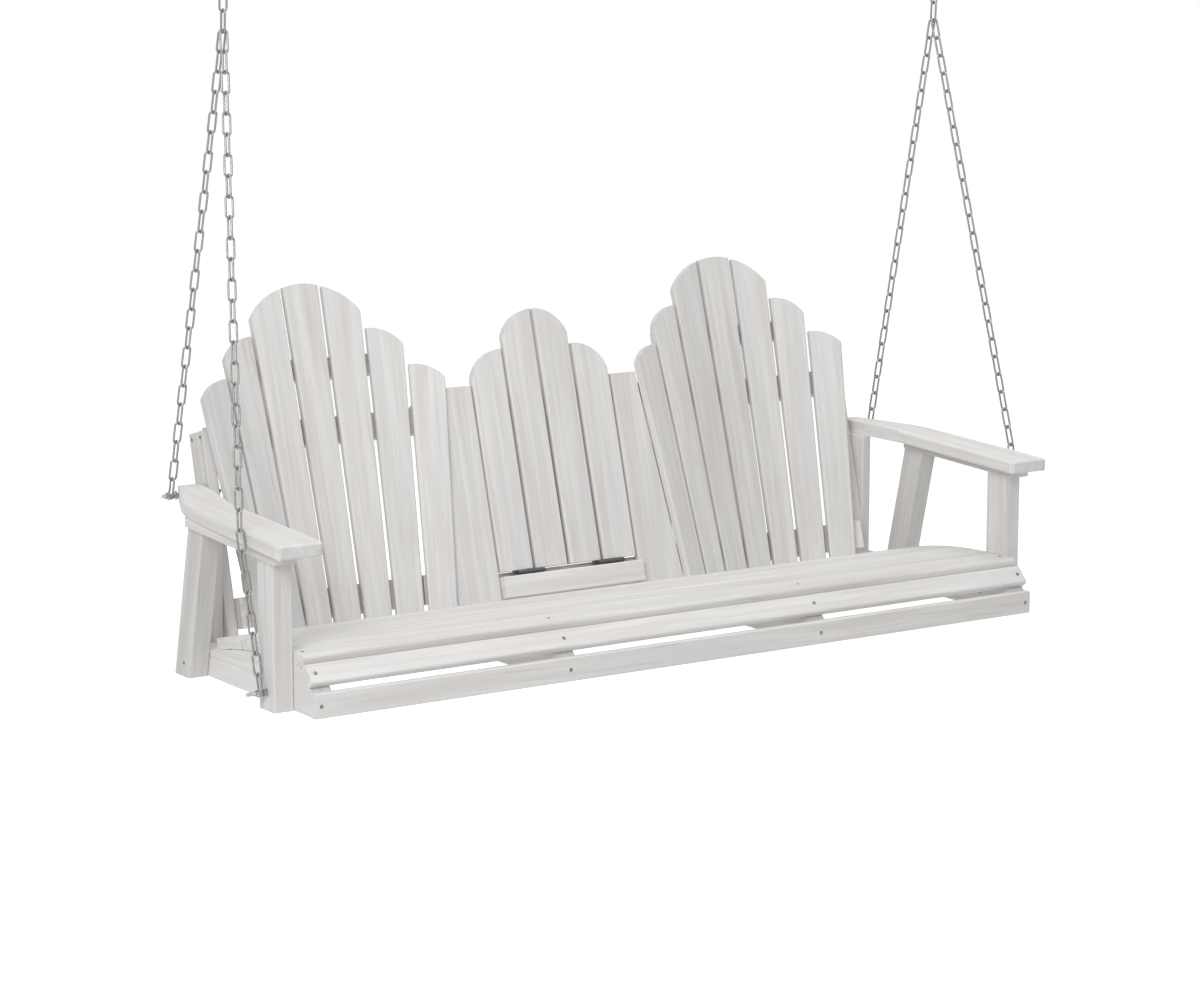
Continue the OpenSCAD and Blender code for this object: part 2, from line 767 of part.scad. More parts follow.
module hanging_washers() {
    color("gray") hung() each_bolt() {
        for (x = [bolt_in - washer_t, post_face, bolt_link_x + wr + 1]) ring(x, washer_t, washer_r);
        for (x = [upright_in - washer_t, rear_face_x, rear_link_x + wr + 1]) ring(x, washer_t, washer_r);
    }
}

// One chain link between contact points a and b. wide: its width lies across, else front to rear
module chain_link(a, b, wide) {
    d = (b - a) / norm(b - a);
    ax = [1, 0, 0] - d[0] * d;
    u = ax / norm(ax);
    v = cross(d, u);
    w = wide ? u : v;
    n = wide ? v : -u;
    c = (a + b) / 2;
    half = link_pitch / 2 + link_fit / 2 - link_w / 2;
    multmatrix([[w[0], n[0], d[0], c[0]], [w[1], n[1], d[1], c[1]], [w[2], n[2], d[2], c[2]], [0, 0, 0, 1]]) {
        for (x = [-link_r, link_r]) translate([x, 0, -half]) cylinder(r = wr, h = 2 * half, $fn = 24);
        for (m = [0, 1]) mirror([0, 0, m]) translate([0, 0, half]) rotate([90, 0, 0])
            rotate_extrude(angle = 180, $fn = 48) translate([link_r, 0]) circle(r = wr, $fn = 24);
    }
}

// Straight run of n links from a to b, links alternately front to rear and across
module chain(a, b, n, first) {
    for (i = [0 : n - 1])
        chain_link(a + (b - a) * i / n, a + (b - a) * (i + 1) / n, (i + first) % 2 == 1);
}

// Start of a chain pulled over a bolt
function on_bolt(p, q) = p - bolt_drop * (q - p) / norm(q - p);

module seat_chains(side) {
    turn = [turn_x, turn_y, turn_z];
    front = [bolt_link_x, bolt_y, bolt_z];
    rear = [rear_link_x, rear_bolt_y, rear_bolt_z];
    front_join = [join_x, join_y - side_off, join_z];
    rear_join = [join_x, join_y + side_off, join_z];
    color("silver") hung() both(side) {
        chain(on_bolt(front, turn), turn, turn_links, 0);
        chain(turn, front_join, chain_links, 0);
        chain(on_bolt(rear, rear_join), rear_join, chain_links, 0);
    }
}

module hanger_links() {
    color("silver") plumb() for (s = [-1, 1])
        chain([s * join_x, join_y, join_z - join_drop], [s * join_x, join_y, swing_z], riser_links, 0);
}

module top_links() {
    color("darkgray") plumb() for (s = [-1, 1])
        chain([s * join_x, join_y, swing_z], [s * join_x, join_y, swing_z + link_pitch], 1, 0);
}

apron();
waterfall_slat();
front_seat_slat();
seat_slats();
stringer(-stringer_x);  // left_end_stringer
stringer(stringer_x);  // right_end_stringer
stringer(-mid_x);  // left_mid_stringer
stringer(mid_x);  // right_mid_stringer
front_post(-1);  // left_front_post
front_post(1);  // right_front_post
rear_leg(-1);  // left_rear_leg
rear_leg(1);  // right_rear_leg
back_brace(-1);  // left_back_brace
back_brace(1);  // right_back_brace
arm_cleat(-1);  // left_arm_cleat
arm_cleat(1);  // right_arm_cleat
arm(-1);  // left_arm
arm(1);  // right_arm
end_upright(-1);  // left_end_upright
end_upright(1);  // right_end_upright
inner_upright(-1);  // left_inner_upright
inner_upright(1);  // right_inner_upright
lower_rail(-1);  // left_lower_rail
lower_rail(1);  // right_lower_rail
middle_rail(-1);  // left_middle_rail
middle_rail(1);  // right_middle_rail
upper_rail(-1);  // left_upper_rail
upper_rail(1);  // right_upper_rail
for (i = [1 : 7]) {
    fan_slat(-1, i - 4);
    fan_slat(1, i - 4);
}
side_slat(-1);  // left_side_slat
side_slat(1);  // right_side_slat
hinge_board();
console_rails();
console_slats();
console_battens();
table_boards();
hinge_fixed_leaves();
hinge_moving_leaves();
hinge_pins();
hanging_bolts();
hanging_nuts();
hanging_washers();
seat_chains(-1);  // left_chains
seat_chains(1);  // right_chains
hanger_links();
top_links();
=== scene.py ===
"""Looks of a hanging porch swing seat: whitewashed boards, bright chain and threaded hanging bolts."""

import math

import bpy
import numpy as np
from mathutils import Matrix, Vector


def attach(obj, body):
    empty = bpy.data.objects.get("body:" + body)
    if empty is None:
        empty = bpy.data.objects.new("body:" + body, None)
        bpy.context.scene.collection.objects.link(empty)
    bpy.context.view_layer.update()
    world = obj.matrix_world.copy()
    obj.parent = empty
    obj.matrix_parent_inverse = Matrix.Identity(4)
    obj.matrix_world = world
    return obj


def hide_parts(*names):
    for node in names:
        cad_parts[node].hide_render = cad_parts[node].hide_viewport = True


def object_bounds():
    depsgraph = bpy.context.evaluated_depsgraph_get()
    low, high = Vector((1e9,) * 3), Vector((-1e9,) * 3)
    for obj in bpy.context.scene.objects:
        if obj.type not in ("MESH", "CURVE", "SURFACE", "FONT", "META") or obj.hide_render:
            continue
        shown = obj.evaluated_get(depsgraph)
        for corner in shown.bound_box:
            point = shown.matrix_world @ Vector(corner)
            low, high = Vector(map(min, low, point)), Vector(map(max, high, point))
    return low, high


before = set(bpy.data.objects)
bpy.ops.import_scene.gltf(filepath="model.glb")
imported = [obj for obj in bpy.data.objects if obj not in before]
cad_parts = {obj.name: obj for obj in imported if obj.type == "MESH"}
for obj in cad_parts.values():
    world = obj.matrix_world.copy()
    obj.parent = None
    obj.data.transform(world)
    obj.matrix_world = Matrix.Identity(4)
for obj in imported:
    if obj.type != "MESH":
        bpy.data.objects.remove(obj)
cad_box = [list(corner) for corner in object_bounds()]

# ---------------------------------------------------------------- the seat's own sizes, in metres

HANG_Z = 1.4356886  # from the apron's foot up to the line the top links hang on
PIVOT = Vector((0, 0.358, 1.3139386))  # middle of the line of the chain junctions
HANG_LEAN = math.radians(2.76)
BACK_LEAN = math.radians(15.5)
BACK_Y = 0.434  # foot of the back's plane, from the apron's face
POST_FACE = 0.9545  # outer face of the posts and legs, from the seat's middle
STRINGER_IN = 0.8655  # inner face of the end stringers
UPRIGHT_OUT = 0.8415  # faces of the end uprights
UPRIGHT_IN = 0.8175
REAR_ARM_X = 0.9036314  # outer edge of the arms where the rear bolts leave them
FAN_X = 0.545  # middle of each fan, from the seat's middle
FAN_RADIUS = 0.742  # radius of the hollow in each fan
FAN_SAG = 0.062  # depth of the hollow from the back's plane
FAN_PITCH = 0.0835  # from slat to slat
FAN_REF = 0.4935  # height on the back at which that pitch is measured
FAN_REACH = 2.271  # below the back's foot the slats' lines meet

HUNG = (
    Matrix.Translation((0, 0, PIVOT.z - HANG_Z))
    @ Matrix.Rotation(-HANG_LEAN, 4, "X")
    @ Matrix.Translation(-PIVOT)
)
BACK = Matrix.Translation((0, BACK_Y, 0)) @ Matrix.Rotation(-BACK_LEAN, 4, "X")


def place(points):
    """Points of the level seat moved to where the seat hangs: each is turned and shifted by HUNG."""
    m = np.array(HUNG)
    return np.asarray(points, float) @ m[:3, :3].T + m[:3, 3]


# ---------------------------------------------------------------- node helpers


def put(tree, kind, sockets=None, **settings):
    """One node, with its settings, and its sockets linked to other sockets or set to values."""
    made = tree.nodes.new(kind)
    for key, value in settings.items():
        setattr(made, key, value)
    for key, value in (sockets or {}).items():
        if isinstance(value, bpy.types.NodeSocket):
            tree.links.new(value, made.inputs[key])
        else:
            made.inputs[key].default_value = value
    return made


def sums(tree, operation, a, b=0.0, c=0.0, clamp=False):
    """The output of one Math node."""
    return put(tree, "ShaderNodeMath", {0: a, 1: b, 2: c}, operation=operation, use_clamp=clamp).outputs[0]


def blend_colour(tree, share, a, b, how="MIX"):
    """The colour that a Mix node gives between a and b."""
    sockets = {0: share, 6: a, 7: b}
    return put(tree, "ShaderNodeMix", sockets, data_type="RGBA", blend_type=how).outputs[2]


def stretch(tree, vector, scale, shift=None):
    """The vector scaled per axis, and then shifted."""
    out = put(tree, "ShaderNodeVectorMath", {0: vector, 1: scale}, operation="MULTIPLY").outputs[0]
    if shift is None:
        return out
    return put(tree, "ShaderNodeVectorMath", {0: out, 1: shift}, operation="ADD").outputs[0]


def noise(tree, vector, detail=2.0, roughness=0.5):
    """A noise of scale 1 over the vector, from 0 to 1."""
    sockets = {"Vector": vector, "Scale": 1.0, "Detail": detail, "Roughness": roughness}
    return put(tree, "ShaderNodeTexNoise", sockets).outputs["Fac"]


def ramp(tree, value, low, high, out_low=0.0, out_high=1.0):
    """The value carried smoothly from low..high to out_low..out_high."""
    sockets = {0: value, 1: low, 2: high, 3: out_low, 4: out_high}
    return put(tree, "ShaderNodeMapRange", sockets, interpolation_type="SMOOTHSTEP").outputs[0]


def new_group(name, inputs, outputs):
    """An empty shader node group with those sockets, and its input and output nodes."""
    group = bpy.data.node_groups.new(name, "ShaderNodeTree")
    for label, kind, value in inputs:
        socket = group.interface.new_socket(label, in_out="INPUT", socket_type=kind)
        if value is not None:
            socket.default_value = value
    for label, kind in outputs:
        group.interface.new_socket(label, in_out="OUTPUT", socket_type=kind)
    return group, group.nodes.new("NodeGroupInput"), group.nodes.new("NodeGroupOutput")


# ---------------------------------------------------------------- whitewashed boards


def make_board_grain():
    """Grain of a board. Vector is metres along, across and through the board.

    The board's number, from Pitch and Start, and the seed shift the pattern, so no two boards
    are alike. Long soft streaks, fine fibres and thin dark lines add up to tint and relief.
    """
    number = "NodeSocketFloat"
    group, source, out = new_group(
        "board_grain",
        [
            ("Vector", "NodeSocketVector", None),
            ("Seed", number, 0.0),
            ("Pitch", number, 10.0),
            ("Start", number, -5.0),
        ],
        [("Tint", "NodeSocketColor"), ("Roughness", number), ("Relief", number)],
    )
    t = group
    parts = put(t, "ShaderNodeSeparateXYZ", {0: source.outputs["Vector"]})
    across = sums(t, "SUBTRACT", parts.outputs[1], source.outputs["Start"])
    board = sums(t, "FLOOR", sums(t, "DIVIDE", across, source.outputs["Pitch"]))
    key = sums(t, "MULTIPLY_ADD", board, 17.37, sums(t, "MULTIPLY", source.outputs["Seed"], 5.713))
    shift = put(t, "ShaderNodeCombineXYZ", {0: key, 1: sums(t, "MULTIPLY", key, 1.731), 2: key}).outputs[0]
    vector = source.outputs["Vector"]

    wander = noise(t, stretch(t, vector, (2.2, 14.0, 14.0), shift), 2.0, 0.5)
    bent = put(t, "ShaderNodeCombineXYZ", {1: sums(t, "MULTIPLY", wander, 0.022)}).outputs[0]
    bent = put(t, "ShaderNodeVectorMath", {0: vector, 1: bent}, operation="ADD").outputs[0]
    broad = noise(t, stretch(t, bent, (2.6, 62.0, 62.0), shift), 2.0, 0.45)
    streak = noise(t, stretch(t, bent, (5.0, 170.0, 170.0), shift), 3.0, 0.55)
    fibre = noise(t, stretch(t, bent, (14.0, 620.0, 620.0), shift), 2.0, 0.6)
    hue = noise(t, stretch(t, bent, (1.7, 30.0, 30.0), shift), 1.0, 0.5)
    board_tone = put(t, "ShaderNodeTexWhiteNoise", {"W": key}, noise_dimensions="1D").outputs["Value"]

    ring = sums(t, "PINGPONG", sums(t, "MULTIPLY_ADD", wander, 5.0, sums(t, "MULTIPLY", across, 95.0)), 1.0)
    line = sums(t, "MULTIPLY", ramp(t, ring, 0.80, 1.0), ramp(t, streak, 0.46, 0.66))

    tint = blend_colour(t, ramp(t, broad, 0.32, 0.68), (0.650, 0.637, 0.620, 1), (0.724, 0.713, 0.700, 1))
    tint = blend_colour(t, ramp(t, hue, 0.50, 0.72, 0.0, 0.62), tint, (0.604, 0.577, 0.548, 1))
    tint = blend_colour(t, ramp(t, hue, 0.48, 0.30, 0.0, 0.55), tint, (0.660, 0.657, 0.672, 1))
    tint = blend_colour(t, ramp(t, streak, 0.52, 0.74, 0.0, 0.34), tint, (0.530, 0.510, 0.488, 1))
    tint = blend_colour(t, ramp(t, fibre, 0.50, 0.75, 0.0, 0.16), tint, (0.470, 0.445, 0.415, 1))
    tint = blend_colour(t, sums(t, "MULTIPLY", line, 0.26), tint, (0.430, 0.395, 0.360, 1))
    tone = sums(t, "MULTIPLY_ADD", board_tone, 0.06, 0.970)
    tone = put(t, "ShaderNodeCombineColor", {0: tone, 1: tone, 2: tone}).outputs[0]
    tint = blend_colour(t, 1.0, tint, tone, "MULTIPLY")

    relief = sums(t, "MULTIPLY_ADD", fibre, -0.45, 1.0)
    relief = sums(t, "MULTIPLY_ADD", line, -0.8, relief)
    relief = sums(t, "MULTIPLY_ADD", streak, -0.35, relief)
    t.links.new(tint, out.inputs["Tint"])
    t.links.new(sums(t, "MULTIPLY_ADD", streak, 0.22, 0.44), out.inputs["Roughness"])
    t.links.new(relief, out.inputs["Relief"])
    return group


def make_painted_edge_highlight():
    """Mask of a painted highlight on the arrises: where the surface turns within Radius, thinned by a noise.

    The bevelled normal leaves the true normal there, so one less their dot product marks them.
    """
    number = "NodeSocketFloat"
    inputs = [("Radius", number, 0.002), ("Seed", number, 0.0)]
    group, source, out = new_group("painted_edge_highlight", inputs, [("Mask", number)])
    t = group
    soft = put(t, "ShaderNodeBevel", {"Radius": source.outputs["Radius"]}, samples=4)
    true = put(t, "ShaderNodeNewGeometry")
    normals = {0: soft.outputs[0], 1: true.outputs["True Normal"]}
    dot = put(t, "ShaderNodeVectorMath", normals, operation="DOT_PRODUCT")
    turned = sums(t, "SUBTRACT", 1.0, dot.outputs["Value"])
    shift = put(t, "ShaderNodeCombineXYZ", {0: source.outputs["Seed"], 1: source.outputs["Seed"]}).outputs[0]
    point = put(t, "ShaderNodeTexCoord").outputs["Object"]
    patchy = noise(t, stretch(t, point, (38.0, 38.0, 38.0), shift), 3.0, 0.6)
    mask = sums(t, "MULTIPLY", ramp(t, turned, 0.03, 0.25), ramp(t, patchy, 0.35, 0.65, 0.3, 1.0))
    t.links.new(mask, out.inputs["Mask"])
    return group


BOARD_GRAIN = make_board_grain()
PAINTED_EDGE_HIGHLIGHT = make_painted_edge_highlight()


def new_material(name):
    """An empty node material and its Principled BSDF."""
    material = bpy.data.materials.new(name)
    material.use_nodes = True
    tree = material.node_tree
    tree.nodes.clear()
    shader = tree.nodes.new("ShaderNodeBsdfPrincipled")
    put(tree, "ShaderNodeOutputMaterial", {"Surface": shader.outputs[0]})
    return material, tree, shader


def whitewash(name, lay, seed, pitch=10.0, start=-5.0, tone_and_painted_shading=1.0):
    """Whitewashed wood. lay carries metres along, across and through the board to its place."""
    material, tree, shader = new_material("whitewash_" + name)
    back = lay.inverted()
    object_point = put(tree, "ShaderNodeTexCoord").outputs["Object"]
    sockets = {"Vector": object_point, "Location": back.translation, "Rotation": back.to_euler("XYZ")}
    on_board = put(tree, "ShaderNodeMapping", sockets).outputs[0]
    grain = put(tree, "ShaderNodeGroup", node_tree=BOARD_GRAIN)
    tree.links.new(on_board, grain.inputs["Vector"])
    grain.inputs["Seed"].default_value = seed
    grain.inputs["Pitch"].default_value = pitch
    grain.inputs["Start"].default_value = start
    edge_highlight = put(tree, "ShaderNodeGroup", node_tree=PAINTED_EDGE_HIGHLIGHT)
    edge_highlight.inputs["Radius"].default_value = 0.0022
    edge_highlight.inputs["Seed"].default_value = seed
    # Painted highlight: the arrises are lightened towards a pale grey, standing in for light catching the
    # rounded edges
    share = sums(tree, "MULTIPLY", edge_highlight.outputs["Mask"], 0.30)
    colour = blend_colour(tree, share, grain.outputs["Tint"], (0.80, 0.79, 0.775, 1))
    # The board's factor: partly its own tone, partly painted shade or painted light
    colour = blend_colour(tree, 1.0, colour, (tone_and_painted_shading, tone_and_painted_shading, tone_and_painted_shading, 1), "MULTIPLY")
    tree.links.new(colour, shader.inputs["Base Color"])
    tree.links.new(grain.outputs["Roughness"], shader.inputs["Roughness"])
    bump = put(tree, "ShaderNodeBump", {"Height": grain.outputs["Relief"], "Distance": 0.0004, "Strength": 0.6})
    tree.links.new(bump.outputs[0], shader.inputs["Normal"])
    shader.inputs["Specular IOR Level"].default_value = 0.35
    return material


def lie(carrier, along, across, origin=(0, 0, 0)):
    """Matrix with its axes along, across and through a board, on a carrier of the level seat."""
    u = Vector(along).normalized()
    v = Vector(across)
    v = (v - u * v.dot(u)).normalized()
    turn = Matrix((u, v, u.cross(v))).transposed().to_4x4()
    turn.translation = Vector(origin)
    return HUNG @ carrier @ turn


LEVEL = Matrix.Identity(4)
X, Y, Z = (1, 0, 0), (0, 1, 0), (0, 0, 1)


def tilted(degrees):
    """Direction in Y and Z, leaning rearwards by the angle."""
    a = math.radians(degrees)
    return (0, math.sin(a), math.cos(a))


def fan_lay(side, j):
    """Lay of fan slat j, -3 to 3, as its own line of the fan and its turn to the hollow's middle.

    Slats stand a pitch apart on the arc of the hollow, and their lines meet below the back's foot.
    """
    step = FAN_PITCH / FAN_RADIUS
    off = FAN_RADIUS * math.sin(j * step)
    deep = FAN_RADIUS * (math.cos(j * step) - 1) + FAN_SAG
    turn = math.atan(off / (FAN_REACH + FAN_REF))
    carrier = (
        BACK
        @ Matrix.Translation((side * FAN_X, 0, -FAN_REACH))
        @ Matrix.Rotation(side * turn, 4, "Y")
        @ Matrix.Translation((0, deep, FAN_REACH))
        @ Matrix.Rotation(-side * j * step, 4, "Z")
    )
    return lie(carrier, Z, X)


# Node: lay of its boards, pitch from board to board, edge of the first
BOARDS = {
    "apron": (lie(LEVEL, X, Z),),
    "waterfall_slat": (lie(LEVEL, X, tilted(42)),),
    "front_seat_slat": (lie(LEVEL, X, Y),),
    "seat_slats": (lie(LEVEL, X, Y), 0.0567, 0.1375),
    "hinge_board": (lie(BACK, X, Z),),
    "console_rails": (lie(BACK, X, Z), 0.25, 0.0),
    "console_slats": (lie(BACK, Z, X), 0.0895, -0.179),
    "console_battens": (lie(BACK, Z, X), 0.179, -0.179),
    "table_boards": (lie(BACK, X, Z), 0.0715, 0.1215),
}
for side, hand in ((-1, "left"), (1, "right")):
    for name, lay in (
        ("end_stringer", lie(LEVEL, Y, Z)),
        ("mid_stringer", lie(LEVEL, Y, Z)),
        ("front_post", lie(LEVEL, Z, Y)),
        ("rear_leg", lie(LEVEL, tilted(-13.3), Y)),
        ("back_brace", lie(LEVEL, Z, Y)),
        ("arm_cleat", lie(LEVEL, tilted(86.9), X)),
        ("arm", lie(LEVEL, tilted(86.9), X)),
        ("end_upright", lie(LEVEL, tilted(14), Y)),
        ("inner_upright", lie(BACK, Z, X)),
        ("lower_rail", lie(BACK, X, Z)),
        ("middle_rail", lie(BACK, X, Z)),
        ("upper_rail", lie(BACK, X, Z)),
        ("side_slat", lie(BACK, Z, X)),
    ):
        BOARDS[f"{hand}_{name}"] = (lay,)
    for number in range(1, 8):
        BOARDS[f"{hand}_fan_slat_{number}"] = (fan_lay(side, number - 4),)


# How light single boards are against the rest: partly their own tone, partly painted shade and painted light
# for how the lamps fall on them (rear legs under the arms, fan slats turned away from the key light)
TONE_AND_PAINTED_SHADING = {
    "left_rear_leg": 0.86, "right_rear_leg": 0.90,
    "left_fan_slat_7": 0.92, "left_fan_slat_6": 0.90, "right_fan_slat_3": 0.91, "right_fan_slat_4": 0.95,
    "right_front_post": 1.05, "apron": 1.03, "hinge_board": 1.04,
}


def finish_node(name, material):
    """Puts the material into every slot of a CAD node."""
    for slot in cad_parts[name].material_slots:
        slot.material = material


for seed, (name, lay) in enumerate(BOARDS.items()):
    finish_node(name, whitewash(name, lay[0], seed + 1.0, *lay[1:], tone_and_painted_shading=TONE_AND_PAINTED_SHADING.get(name, 1.0)))

# ---------------------------------------------------------------- steel


def make_steel_wear():
    """Zinc on steel: a fine spangle and soft handling marks over object points."""
    number = "NodeSocketFloat"
    group, source, out = new_group(
        "steel_wear", [("Scale", number, 1.0)], [("Tone", number), ("Gloss", number), ("Relief", number)]
    )
    t = group
    point = put(t, "ShaderNodeTexCoord").outputs["Object"]
    sockets = {0: point, "Scale": source.outputs["Scale"]}
    point = put(t, "ShaderNodeVectorMath", sockets, operation="SCALE").outputs[0]
    cells = put(t, "ShaderNodeTexVoronoi", {"Vector": point, "Scale": 420.0}).outputs["Color"]
    cells = put(t, "ShaderNodeSeparateColor", {0: cells}).outputs[0]
    marks = noise(t, stretch(t, point, (90.0, 90.0, 90.0)), 4.0, 0.6)
    tone = sums(t, "MULTIPLY_ADD", cells, 0.14, sums(t, "MULTIPLY", marks, 0.8), clamp=True)
    t.links.new(tone, out.inputs["Tone"])
    t.links.new(sums(t, "MULTIPLY_ADD", marks, 0.20, 0.16), out.inputs["Gloss"])
    t.links.new(sums(t, "MULTIPLY_ADD", cells, 0.2, marks), out.inputs["Relief"])
    return group


STEEL_WEAR = make_steel_wear()


def steel(name, dark, light, scale=1.0, metallic=1.0):
    """Bright steel between two greys. A coat of oxide makes it less than wholly metallic."""
    material, tree, shader = new_material(name)
    wear = tree.nodes.new("ShaderNodeGroup")
    wear.node_tree = STEEL_WEAR
    wear.inputs["Scale"].default_value = scale
    colour = blend_colour(tree, wear.outputs["Tone"], (*dark, 1), (*light, 1))
    tree.links.new(colour, shader.inputs["Base Color"])
    tree.links.new(wear.outputs["Gloss"], shader.inputs["Roughness"])
    bump = put(tree, "ShaderNodeBump", {"Height": wear.outputs["Relief"], "Distance": 0.00008, "Strength": 0.4})
    tree.links.new(bump.outputs[0], shader.inputs["Normal"])
    shader.inputs["Metallic"].default_value = metallic
    return material


chain_zinc = steel("chain_zinc", (0.20, 0.20, 0.20), (0.40, 0.40, 0.395), 1.0, 0.6)
bolt_steel = steel("bolt_steel", (0.30, 0.30, 0.30), (0.56, 0.56, 0.55), 1.0, 0.7)
nut_steel = steel("nut_steel", (0.30, 0.30, 0.30), (0.56, 0.56, 0.55), 1.0, 0.7)
washer_steel = steel("washer_steel", (0.34, 0.34, 0.34), (0.60, 0.60, 0.59), 1.0, 0.7)
# Hinges and their pins are coloured near black: painted shade, so they sink into the shadow of the slot under
# the console
hinge_steel_darkened_for_shade = steel("hinge_steel_darkened_for_shade", (0.06, 0.06, 0.06), (0.16, 0.16, 0.155))
pin_steel_darkened_for_shade = steel("pin_steel_darkened_for_shade", (0.10, 0.10, 0.10), (0.22, 0.22, 0.215))
screw_steel = steel("screw_steel", (0.10, 0.10, 0.10), (0.24, 0.24, 0.235), 2.0)
for name in ("left_chains", "right_chains", "hanger_links", "top_links"):
    finish_node(name, chain_zinc)
for name, material in (
    ("hanging_bolts", bolt_steel),
    ("hanging_nuts", nut_steel),
    ("hanging_washers", washer_steel),
    ("hinge_fixed_leaves", hinge_steel_darkened_for_shade),
    ("hinge_moving_leaves", hinge_steel_darkened_for_shade),
    ("hinge_pins", pin_steel_darkened_for_shade),
):
    finish_node(name, material)


# ---------------------------------------------------------------- new pieces


def add_piece(name, points, faces, material, body):
    """A smooth mesh of the row frame from arrays, with its finish and the body it rides on."""
    mesh = bpy.data.meshes.new(name)
    mesh.from_pydata(np.asarray(points).tolist(), [], [[int(v) for v in face] for face in faces])
    mesh.polygons.foreach_set("use_smooth", np.full(len(mesh.polygons), True))
    mesh.materials.append(material)
    mesh.update()
    piece = bpy.data.objects.new(name, mesh)
    bpy.context.scene.collection.objects.link(piece)
    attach(piece, body)
    return piece


def skin(rows, columns, first=0):
    """Quads between rings of points: row r, column c joins the next column and the next row."""
    r, c = np.meshgrid(np.arange(rows - 1), np.arange(columns), indexing="ij")
    r, c = r.ravel(), c.ravel()
    d = (c + 1) % columns
    return first + np.stack([r * columns + c, r * columns + d, (r + 1) * columns + d, (r + 1) * columns + c], 1)


def threaded_rod(start, length, radius=0.004, thread=0.00125, depth=0.00038, around=20, per_turn=6):
    """A rod along X whose radius falls by the thread's depth along a helix.

    At angle a and distance s the depth follows one minus cosine of s over the thread less a,
    faded out over both ends, which close in a small chamfer.
    """
    n = int(length / thread * per_turn)
    s = np.linspace(0, length, n)
    a = np.linspace(0, 2 * np.pi, around, endpoint=False)
    ss, aa = np.meshgrid(s, a, indexing="ij")
    wave = 0.5 - 0.5 * np.cos(2 * np.pi * ss / thread - aa)
    fade = np.clip(np.minimum(ss, length - ss) / (2 * thread), 0, 1)
    r = (radius - depth * wave) * (0.82 + 0.18 * fade)
    points = np.stack([start[0] + ss, start[1] + r * np.cos(aa), start[2] + r * np.sin(aa)], -1).reshape(-1, 3)
    ends = np.array([[start[0], start[1], start[2]], [start[0] + length, start[1], start[2]]])
    points = np.concatenate([points, ends])
    c = np.arange(around)
    d = (c + 1) % around
    low = np.stack([np.full(around, n * around), d, c, c], 1)
    high = np.stack([np.full(around, n * around + 1), (n - 1) * around + c, (n - 1) * around + d], 1)
    faces = [list(q) for q in skin(n, around)] + [list(q[:3]) for q in low] + [list(q) for q in high]
    return points, faces


def join(parts):
    """Several (points, faces) as one, with the faces renumbered."""
    points, faces, count = [], [], 0
    for some_points, some_faces in parts:
        points.append(some_points)
        faces += [[int(v) + count for v in face] for face in some_faces]
        count += len(some_points)
    return np.concatenate(points), faces


def mirrored(points, faces):
    """The piece on the left side: X turned over and each face run the other way."""
    return points * (-1, 1, 1), [list(face)[::-1] for face in faces]


NUT_END = 0.0121  # washer, nut and end of thread past an inner face
rods = []
for x0, x1, y, z in (
    (STRINGER_IN - NUT_END, POST_FACE + 0.044, 0.121, 0.037),
    (UPRIGHT_IN - NUT_END, REAR_ARM_X + 0.0365, 0.592, 0.3569592),
):
    rod = threaded_rod((x0, y, z), x1 - x0)
    rods += [rod, mirrored(*rod)]
rod_points, rod_faces = join(rods)
bolts = add_piece("threaded_bolts", place(rod_points), rod_faces, bolt_steel, "seat")
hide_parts("hanging_bolts")


def screw_head(at, normal, radius=0.0042, turn=0.0):
    """A domed screw head with a square recess, standing on a face at a point.

    Rings of points run from the rim over the dome to the recess: the height is an ellipse of
    the radius, and the recess rings pull from a circle to a square as they go down.
    """
    n = Vector(normal).normalized()
    side_ = n.cross(Vector((0, 0, 1)) if abs(n.z) < 0.9 else Vector((1, 0, 0))).normalized()
    up = n.cross(side_)
    a = np.linspace(0, 2 * np.pi, 16, endpoint=False) + turn
    square = 1 / np.maximum(np.abs(np.cos(a - turn)), np.abs(np.sin(a - turn)))
    rings = [(1.0, -0.0006, 0), (1.0, 0.0001, 0), (0.93, 0.0005, 0), (0.72, 0.0009, 0), (0.45, 0.0011, 1),
             (0.36, 0.0009, 1), (0.32, -0.0004, 1)]
    points = []
    for share, height, squared in rings:
        r = radius * share * (square * 0.86 if squared else np.ones(16))
        points.append(np.outer(r * np.cos(a), side_) + np.outer(r * np.sin(a), up) + np.array(n) * height)
    points.append(np.array([n]) * -0.0005)
    points = np.concatenate(points) + np.array(at)
    c = np.arange(16)
    last = (len(rings) - 1) * 16
    cap = np.stack([last + c, last + (c + 1) % 16, np.full(16, last + 16)], 1)
    return points, [list(q) for q in skin(len(rings), 16)] + [list(q) for q in cap]


FALL = math.radians(48)  # slope of the waterfall slat
DOWN_FRONT = (0, -math.sin(FALL), math.cos(FALL))
MID_SCREW = 0.3210  # screws over the middle stringers, from the seat's middle
SEAT_TOP = 0.1177
heads = []
for x in (-0.8984, -MID_SCREW, MID_SCREW, 0.8984):
    heads.append(screw_head((x, 0.0, 0.0247), (0, -1, 0), turn=3.1 * x))
for x in (-0.8965, -MID_SCREW, MID_SCREW, 0.8965):
    middle = np.array([x, 0.011, 0.069]) + 0.023 * np.array([0, math.cos(FALL), math.sin(FALL)])
    heads.append(screw_head(middle, DOWN_FRONT, turn=2.3 * x))
for x in (-0.8936, -MID_SCREW, MID_SCREW, 0.8936):
    heads.append(screw_head((x, 0.084, SEAT_TOP), (0, 0, 1), radius=0.0036, turn=1.7 * x))
for side in (-1, 1):
    heads.append(screw_head((POST_FACE * side, 0.480, 0.029), (side, 0, 0), turn=0.6))
    for n in (0.0438, 0.0833):
        at = BACK @ Vector((UPRIGHT_OUT * side, n, 0.500))
        heads.append(screw_head(tuple(at), (side, 0, 0), turn=20 * n))
head_points, head_faces = join(heads)
